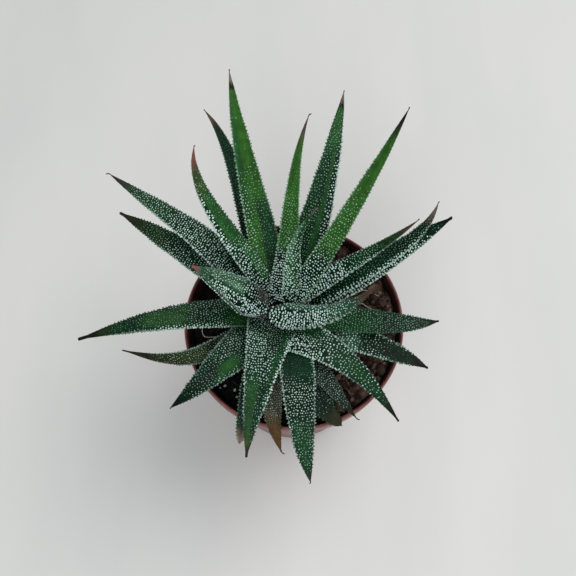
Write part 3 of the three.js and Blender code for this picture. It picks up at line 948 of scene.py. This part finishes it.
SOIL_TOP = 67
SOIL_GAP = 0.3  # between the soil and the pot
SOIL_EDGE = inner_radius(WALL_TOP - 3) - SOIL_GAP
SOIL_RIM = SOIL_EDGE + 1.1  # where the soil banked against the wall ends, on the left
SOIL_BANK = 5.0  # height of the bank on the right
SOIL_LUMP = 0.8
SOIL_SIDES = 220
SOIL_TURNS = 70
DAMP_TO = -10  # the soil is damp up to this x, and dry from the other on
DRY_FROM = 25
CRUMBS = 3200
CHIPS = 420
FIBRES = 560
CROWN = Vector((-7, 3, 0))


def dryness(x):
    return smoothstep(x, DAMP_TO, DRY_FROM)


def soil_height(x, y):
    """Height of the soil's top: clods, crumbs on them, and the bank against the wall."""
    clods = math.sin(0.42 * x + 1.3) * math.cos(0.37 * y) + 0.6 * math.sin(0.9 * x - 0.7 * y)
    crumbs = 1.1 * noise.fractal(Vector((x * 0.35, y * 0.35, 3.1)), 0.7, 2.1, 4)
    bank = SOIL_BANK * smoothstep(math.hypot(x, y), 30, soil_reach(x))
    bank *= 0.3 + 0.7 * smoothstep(x, -20, 20)
    return SOIL_TOP + SOIL_LUMP * clods + crumbs * (0.6 + 0.8 * dryness(x)) + bank


def soil_reach(x):
    """Radius of the soil's edge, wider on the right, where it is banked higher up the wall."""
    return SOIL_RIM + 0.8 * smoothstep(x, -20, 25)


def add_soil():
    shape = Shape()
    low = FLOOR + 2.3
    rings = [around_axis(inner_radius(low) - SOIL_GAP, low, SOIL_SIDES)]
    rings.append(around_axis(SOIL_EDGE, WALL_TOP - 3, SOIL_SIDES))
    for turn in range(SOIL_TURNS):
        ring = []
        for place in around_axis(1 - turn / SOIL_TURNS, 0, SOIL_SIDES):
            place = place * soil_reach(place.x / MM * SOIL_RIM)
            ring.append(place + UP * (soil_height(place.x / MM, place.y / MM) * MM))
        rings.append(ring)
    ends = (UP * (low * MM), UP * (soil_height(0, 0) * MM))
    shape.plain_tube(rings, ends, Vector((0.5, 0.5, 0.5)))
    soil = shape.object("fine_soil", [soil_material()], "soil")
    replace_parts(soil, "soil")


def add_lump(shape, place, size, tint, draw, flat=0.7, long=1.0):
    """A rough grain: a ball of six-sided rings pushed in and out, and drawn out one way by long."""
    first = len(shape.points)
    turn = Matrix.Rotation(draw.uniform(0, math.pi), 3, "Z")
    spots = []
    for row in range(1, 4):
        polar = math.pi * row / 4
        for bearing in bearings(6):
            x = math.sin(polar) * math.cos(bearing + 0.5 * row)
            y = math.sin(polar) * math.sin(bearing + 0.5 * row)
            spots.append((x, y, flat * math.cos(polar)))
    spots = [(0, 0, flat), *spots, (0, 0, -flat)]
    for x, y, z in spots:
        rough = size * draw.uniform(0.7, 1.2)
        shape.point((place + turn @ Vector((x * long, y, z)) * rough) * MM, tint)
    for k in range(6):
        after = (k + 1) % 6
        shape.face((first, first + 1 + k, first + 1 + after))
        for row in range(2):
            a = first + 1 + row * 6
            shape.face((a + k, a + 6 + k, a + 6 + after, a + after))
        shape.face((first + 13 + k, first + 19, first + 13 + after))


def on_soil(x, y, rise):
    return Vector((x, y, soil_height(x, y) + rise))


def soil_tint(x, draw):
    damp = srgb(8, 6, 6).lerp(srgb(30, 24, 22), draw.random() ** 2)
    dry = srgb(26, 16, 14).lerp(srgb(124, 98, 84), draw.random() ** 2)
    return damp.lerp(dry, dryness(x))


def soil_spot(draw, reach=SOIL_EDGE + 0.3):
    radius = reach * math.sqrt(draw.random())
    bearing = draw.uniform(0, math.tau)
    return radius * math.cos(bearing), radius * math.sin(bearing)


def add_crumbs():
    """Crumbs of peat everywhere, and chips of bark, mostly on the drier side."""
    draw = random.Random(41)
    shape = Shape()
    for _ in range(CRUMBS):
        x, y = soil_spot(draw)
        size = draw.uniform(0.2, 0.6) if draw.random() < 0.93 else draw.uniform(0.6, 1.2)
        add_lump(shape, on_soil(x, y, 0.2 * size), size, soil_tint(x, draw), draw)
    for _ in range(CHIPS):
        x, y = soil_spot(draw)
        if draw.random() > 0.15 + 0.85 * smoothstep(x, -5, 20):
            continue
        size = draw.uniform(0.8, 1.5)
        place = on_soil(x, y, 0.3 * size)
        add_lump(shape, place, size, soil_tint(x, draw), draw, 0.35, draw.uniform(1.3, 2.6))
    shape.object("soil_crumbs", [scrap_material("crumb", 0.95)], "soil", smooth=False)


PERLITE = [(-28, -25), (-30, -26), (-23, -30), (-24, -27), (-13, -34), (31, 4), (24, 20),
           (-31, 14), (27, -21)]


def add_perlite():
    draw = random.Random(5)
    shape = Shape()
    for x, y in PERLITE:
        size = draw.uniform(0.45, 0.8)
        tint = srgb(196, 192, 188) * draw.uniform(0.6, 1)
        add_lump(shape, on_soil(x, y, 0.5 * size), size, tint, draw, 0.9)
    shape.object("soil_perlite", [scrap_material("perlite", 0.9)], "soil", smooth=False)


def add_thread(shape, route, radius, tint, sides=5):
    """A thin root or fibre through the points of its route, tapering to its ends."""
    rings = []
    steps = 6 * (len(route) - 1)
    places = [spline(route, i / steps) for i in range(steps + 1)]
    for i, place in enumerate(places):
        along = (places[min(i + 1, steps)] - places[max(i - 1, 0)]).normalized()
        side = along.cross(UP).normalized()
        over = side.cross(along)
        thin = radius * (0.35 + 0.65 * math.sin(math.pi * (i + 0.5) / (steps + 1)) ** 0.5)
        ring = []
        for bearing in bearings(sides):
            spoke = side * (math.cos(bearing) * thin) + over * (math.sin(bearing) * thin)
            ring.append((place + spoke) * MM)
        rings.append(ring)
    shape.plain_tube(rings, (places[0] * MM, places[-1] * MM), tint)


def spline(route, share):
    """A point of the smooth curve through the route's points."""
    spans = len(route) - 1
    span = min(spans - 1, int(share * spans))
    t = share * spans - span
    a = route[max(0, span - 1)]
    b = route[span]
    c = route[span + 1]
    d = route[min(spans, span + 2)]
    return 0.5 * (2 * b + (c - a) * t + (2 * a - 5 * b + 4 * c - d) * t * t
                  + (3 * b - a - 3 * c + d) * t**3)


ROOT_THREADS = [
    [(-38.4, -0.6), (-38, -3), (-36.5, -4.8), (-32, -4.4), (-26, -5.0), (-20, -4.8)],
    [(26, 13), (29, 11.2), (32, 8.6), (35, 6.4)],
    [(20, 16), (25, 15), (30, 16), (36, 13)],
]


def add_roots_and_fibres():
    draw = random.Random(12)
    shape = Shape()
    for route in ROOT_THREADS:
        places = [on_soil(x, y, 1) for x, y in route]
        add_thread(shape, places, 0.24, srgb(190, 180, 164))
    for _ in range(FIBRES):
        x, y = soil_spot(draw, SOIL_EDGE - 3)
        dry_share = smoothstep(x, -15, 30)
        if draw.random() > 0.25 + 0.75 * dry_share:
            continue
        bearing = draw.uniform(0, math.tau)
        length = draw.uniform(1.5, 6)
        route = []
        for _ in range(4):
            bearing += draw.uniform(-0.5, 0.5)
            route.append(on_soil(x, y, draw.uniform(0.1, 0.8)))
            x += math.cos(bearing) * length / 3
            y += math.sin(bearing) * length / 3
        if max(place.xy.length for place in route) > SOIL_EDGE - 0.5:
            continue
        pale = draw.random() ** 2 * (0.3 + 0.7 * dry_share)
        tint = srgb(52, 36, 30).lerp(srgb(158, 130, 108), pale)
        add_thread(shape, route, draw.uniform(0.08, 0.2), tint, 4)
    shape.object("soil_fibres", [scrap_material("fibre", 0.8)], "soil")


DRIED_CURLS = [
    [(-14.2, 6.2, 93.5), (-12.6, 5.0, 94.4), (-11.9, 3.4, 94.0), (-12.9, 2.3, 93.4),
     (-13.9, 3.2, 93.2)],
    [(-15.4, 8.0, 94), (-14.3, 6.6, 94.8), (-13.0, 5.4, 94.2), (-12.2, 4.2, 93)],
    [(-13.6, 4.8, 94.6), (-13.0, 3.8, 94.9), (-12.2, 4.4, 94.5), (-12.8, 5.2, 94.2),
     (-13.6, 4.6, 93.6)],
    [(-13.2, 4.2, 94.2), (-12.6, 2.8, 93.8), (-11.4, 1.4, 93), (-10.4, 0.2, 92)],
    [(-12.4, 5.6, 93), (-11.2, 4.2, 93.4), (-10.6, 2.6, 92.6), (-10.2, 1.0, 91.4)],
    [(-14.6, -3.8, 91.4), (-13.4, -4.6, 92.2), (-12.0, -4.6, 92.0), (-10.8, -4.9, 91.4)],
    [(-13.4, -4.6, 91.8), (-12.4, -5.2, 92.4), (-11.4, -5.0, 91.8)],
]
CURL_STRANDS = 7
CURL_WIDTH = 1.3
CURL_STRAY = 0.5

STEM_PROFILE = [(52, 4), (60, 4), (66, 4), (70, 4), (74, 4), (78, 4), (80.5, 3.2), (81.6, 3.2)]
STEM_TOP = 82
STEM_SIDES = 24


def add_curl(shape, route, draw):
    """A strip of dried leaf, crumpled and split into strands, along the points of its route."""
    for strand in range(CURL_STRANDS):
        shift = CURL_WIDTH * (strand / (CURL_STRANDS - 1) - 0.5)
        places = []
        for place in route:
            stray = Vector([draw.uniform(-CURL_STRAY, CURL_STRAY) for _ in range(3)])
            places.append(Vector(place) + stray + Vector((shift, 0.6 * shift, -0.6 * abs(shift))))
        tint = srgb(14, 14, 13).lerp(srgb(92, 88, 84), draw.random() ** 2)
        add_thread(shape, places, draw.uniform(0.07, 0.15), tint)


def add_stem():
    """The short stem, with the dried remains of old leaves round the heart of the rosette."""
    draw = random.Random(8)
    shape = Shape()
    rings = []
    for height, radius in STEM_PROFILE:
        ring = []
        for bearing in bearings(STEM_SIDES):
            rough = radius * (1 + 0.05 * math.sin(height - 5 * bearing))
            spoke = Vector((math.cos(bearing), -math.sin(bearing), 0)) * rough
            ring.append((CROWN + spoke + UP * height) * MM)
        rings.append(ring)
    ends = ((CROWN + UP * STEM_PROFILE[0][0]) * MM, (CROWN + UP * STEM_TOP) * MM)
    shape.plain_tube(rings, ends, srgb(30, 24, 20))
    for route in DRIED_CURLS:
        add_curl(shape, route, draw)
    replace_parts(shape.object("fine_stem", [scrap_material("bark", 0.85)], "stem"), "stem")


add_camera()
add_lights()
add_floor()
add_pot()
add_soil()
add_crumbs()
add_perlite()
add_roots_and_fibres()
add_stem()
add_leaves()
